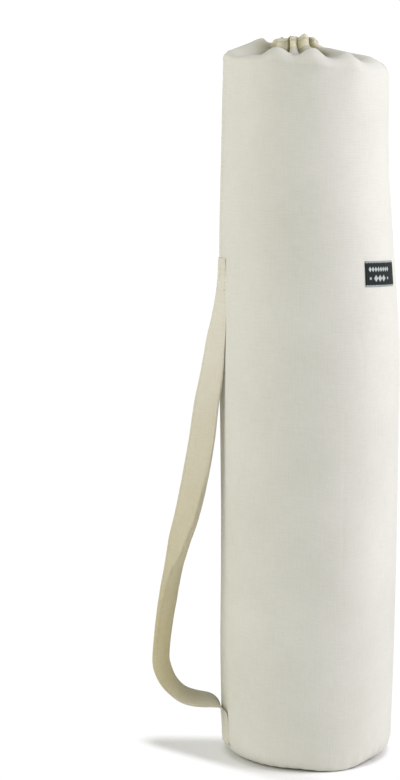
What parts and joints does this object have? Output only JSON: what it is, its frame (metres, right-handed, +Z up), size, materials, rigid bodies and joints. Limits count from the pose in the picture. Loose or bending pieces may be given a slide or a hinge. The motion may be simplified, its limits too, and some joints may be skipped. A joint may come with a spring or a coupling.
{
  "type": "yoga mat bag",
  "caption": "Tall round canvas bag for a rolled exercise mat, with a gathered drawstring mouth, a shoulder strap sewn to the side seam and a woven label.",
  "frame": {"origin": "centre of the round base, on the floor that the bag stands on", "axes": "+Z up along the bag to its mouth; -X is the side of the seam and the shoulder strap; the label faces -Y and a little +X"},
  "size_m": [0.2373, 0.1674, 0.6723],
  "materials": {
    "canvas": "natural unbleached cotton canvas, plain weave, matt",
    "canvas_hem": "doubled hem of the same canvas, gathered",
    "strap_canvas": "folded and top-stitched strap of the same canvas",
    "label": null
  },
  "bodies": {
    "root": {"canvas_tube": "canvas", "drawstring_casing": "canvas_hem", "base_panel": "canvas", "shoulder_strap": "strap_canvas", "woven_label": "label"}
  },
  "joints": []
}
